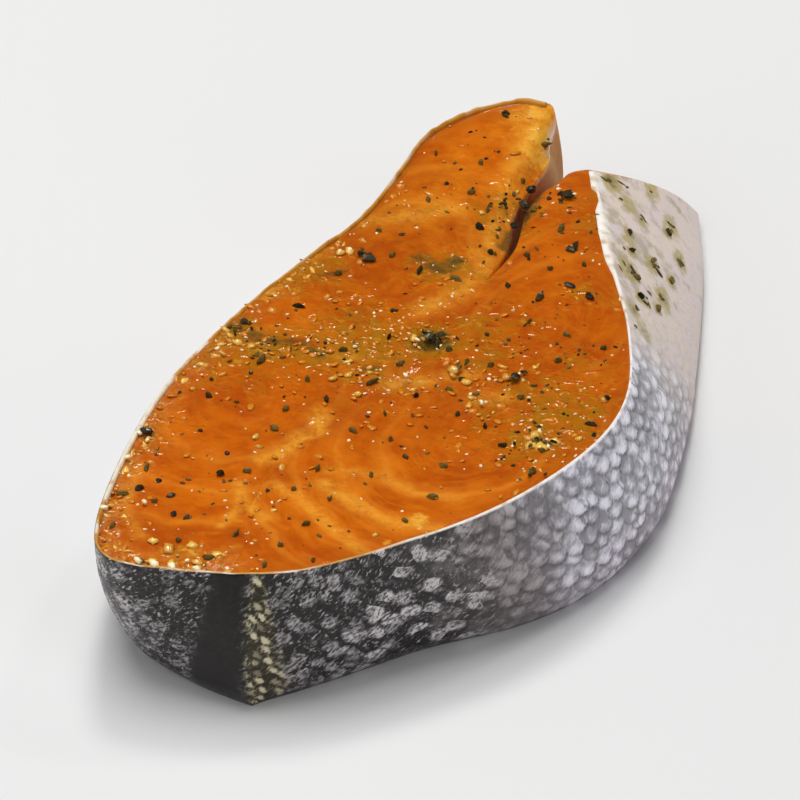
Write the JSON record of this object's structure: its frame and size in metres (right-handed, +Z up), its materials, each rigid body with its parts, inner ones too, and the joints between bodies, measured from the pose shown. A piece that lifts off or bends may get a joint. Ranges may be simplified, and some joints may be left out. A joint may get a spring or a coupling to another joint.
{
  "type": "atlantic salmon steak",
  "caption": "Raw cross-cut fish steak in an oily herb marinade: orange flesh with muscle layers, scaly dark to silver skin and belly flaps folded side by side.",
  "frame": {"origin": "middle of the steak's plan box, on the surface that it lies on", "axes": "+Y from the back of the fish to its belly flaps, +X to its right flank, +Z up, across the thickness of the cut"},
  "size_m": [0.084, 0.1796, 0.0297],
  "materials": {
    "flesh": "moist orange flesh under a thin coat of oil",
    "skin": "scaly skin, near black on the back, silver on the flank, white on the belly",
    "herbs": "dried green-brown herb flakes, damp with oil",
    "pepper": "cracked black pepper",
    "marinade": "wet yellow oil with minced garlic and ground spice"
  },
  "bodies": {
    "root": {"salmon_steak": "flesh"}
  },
  "joints": []
}
